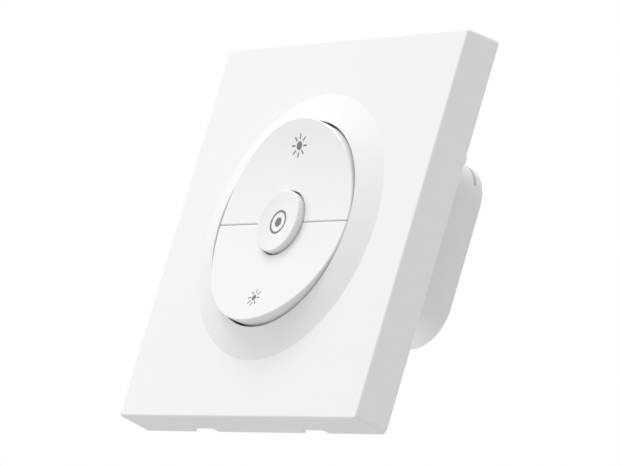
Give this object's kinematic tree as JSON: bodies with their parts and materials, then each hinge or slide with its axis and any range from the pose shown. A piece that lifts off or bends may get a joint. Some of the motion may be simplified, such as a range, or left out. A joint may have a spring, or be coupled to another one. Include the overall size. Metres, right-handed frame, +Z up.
{
  "type": "smart dimmer switch",
  "caption": "Flush-mounted smart dimmer: square plate, round pair of dished rocker keys with a push button in the middle, and a wall-box module behind.",
  "frame": {"origin": "centre of the front plate on the wall surface, midway between the wall screws", "axes": "+X to the right seen from the room, +Y into the wall, +Z up"},
  "size_m": [0.086, 0.0352, 0.086],
  "materials": {
    "plate_white": "satin",
    "key_white": "satin",
    "button_white": "satin",
    "holder_grey": "matt",
    "shell_white": "satin",
    "frame_steel": "galvanised",
    "screw_steel": "zinc plated",
    "board_green": "lacquered",
    "switch_black": "matt",
    "plunger_red": "satin",
    "shield_tin": "tinned",
    "chip_black": "matt",
    "contact_brass": "plain",
    "block_grey": "matt",
    "spreader_aluminium": "mill",
    "pad_grey": "matt",
    "ferrite_grey": "matt",
    "winding_copper": "lacquered",
    "can_aluminium": "sleeved",
    "film_yellow": "gloss",
    "fuse_brown": "gloss",
    "varistor_blue": "gloss"
  },
  "bodies": {
    "switch_base": {"face_plate": "plate_white", "key_holder": "holder_grey", "switch_body_up": "switch_black", "switch_body_down": "switch_black", "switch_body_centre": "switch_black", "control_board": "board_green", "radio_board": "board_green", "radio_shield": "shield_tin", "control_chip": "chip_black", "header_pins": "contact_brass", "header_socket": "switch_black", "mounting_frame": "frame_steel", "module_shell": "shell_white", "rear_cover": "shell_white", "power_board": "board_green", "heat_spreader": "spreader_aluminium", "thermal_pad": "pad_grey", "power_transistors": "chip_black", "terminal_block": "block_grey", "terminal_bars": "contact_brass", "transformer_core": "ferrite_grey", "transformer_winding": "winding_copper", "store_capacitor": "can_aluminium", "choke_core": "ferrite_grey", "choke_winding": "winding_copper", "film_capacitor": "film_yellow", "fuse": "fuse_brown", "varistor": "varistor_blue", "driver_chip": "chip_black", "control_board_screws": "screw_steel", "chassis_screws": "screw_steel", "power_board_screws": "screw_steel"},
    "upper_key": {"key_up": "key_white"},
    "lower_key": {"key_down": "key_white"},
    "button": {"centre_button": "button_white"},
    "upper_plunger": {"plunger_up": "plunger_red"},
    "lower_plunger": {"plunger_down": "plunger_red"},
    "button_plunger": {"plunger_centre": "plunger_red"},
    "line_clamp_screw": {"terminal_screw_line": "screw_steel"},
    "line_wire_cage": {"terminal_cage_line": "contact_brass"},
    "neutral_clamp_screw": {"terminal_screw_neutral": "screw_steel"},
    "neutral_wire_cage": {"terminal_cage_neutral": "contact_brass"},
    "load_clamp_screw": {"terminal_screw_load": "screw_steel"},
    "load_wire_cage": {"terminal_cage_load": "contact_brass"}
  },
  "joints": [
    {"name": "key_up_press", "type": "hinge", "parent": "switch_base", "child": "upper_key", "pos_m": [0, -0.0064, 0.005], "axis": [-1, 0, 0], "range_deg": [0, 2], "stiffness_Nm_per_rad": 0.3, "springref_deg": -1.72},
    {"name": "key_down_press", "type": "hinge", "parent": "switch_base", "child": "lower_key", "pos_m": [0, -0.0064, -0.005], "axis": [1, 0, 0], "range_deg": [0, 2], "stiffness_Nm_per_rad": 0.3, "springref_deg": -1.72},
    {"name": "centre_button_press", "type": "slide", "parent": "switch_base", "child": "button", "axis": [0, 1, 0], "range_m": [0, 0.0003], "stiffness_N_per_m": 3000, "springref_m": -0.0002},
    {"name": "plunger_up_travel", "type": "slide", "parent": "switch_base", "child": "upper_plunger", "axis": [0, 1, 0], "range_m": [0, 0.0003]},
    {"name": "plunger_down_travel", "type": "slide", "parent": "switch_base", "child": "lower_plunger", "axis": [0, 1, 0], "range_m": [0, 0.0003]},
    {"name": "plunger_centre_travel", "type": "slide", "parent": "switch_base", "child": "button_plunger", "axis": [0, 1, 0], "range_m": [0, 0.0003]},
    {"name": "line_screw_turn", "type": "hinge", "parent": "switch_base", "child": "line_clamp_screw", "pos_m": [-0.0082, 0.0171, -0.0127], "axis": [0, 0, 1], "range_deg": [0, 2740]},
    {"name": "line_cage_lift", "type": "slide", "parent": "switch_base", "child": "line_wire_cage", "axis": [0, 0, -1], "range_m": [0, 0.0038]},
    {"name": "neutral_screw_turn", "type": "hinge", "parent": "switch_base", "child": "neutral_clamp_screw", "pos_m": [0, 0.0171, -0.0127], "axis": [0, 0, 1], "range_deg": [0, 2740]},
    {"name": "neutral_cage_lift", "type": "slide", "parent": "switch_base", "child": "neutral_wire_cage", "axis": [0, 0, -1], "range_m": [0, 0.0038]},
    {"name": "load_screw_turn", "type": "hinge", "parent": "switch_base", "child": "load_clamp_screw", "pos_m": [0.0082, 0.0171, -0.0127], "axis": [0, 0, 1], "range_deg": [0, 2740]},
    {"name": "load_cage_lift", "type": "slide", "parent": "switch_base", "child": "load_wire_cage", "axis": [0, 0, -1], "range_m": [0, 0.0038]}
  ],
  "couplings": [
    {"joint": "plunger_up_travel", "follows": "key_up_press", "m_per_rad": 0.0085},
    {"joint": "plunger_down_travel", "follows": "key_down_press", "m_per_rad": 0.0085},
    {"joint": "plunger_centre_travel", "follows": "centre_button_press", "ratio": 1},
    {"joint": "line_screw_turn", "follows": "line_cage_lift", "rad_per_m": 12566},
    {"joint": "neutral_screw_turn", "follows": "neutral_cage_lift", "rad_per_m": 12566},
    {"joint": "load_screw_turn", "follows": "load_cage_lift", "rad_per_m": 12566}
  ]
}
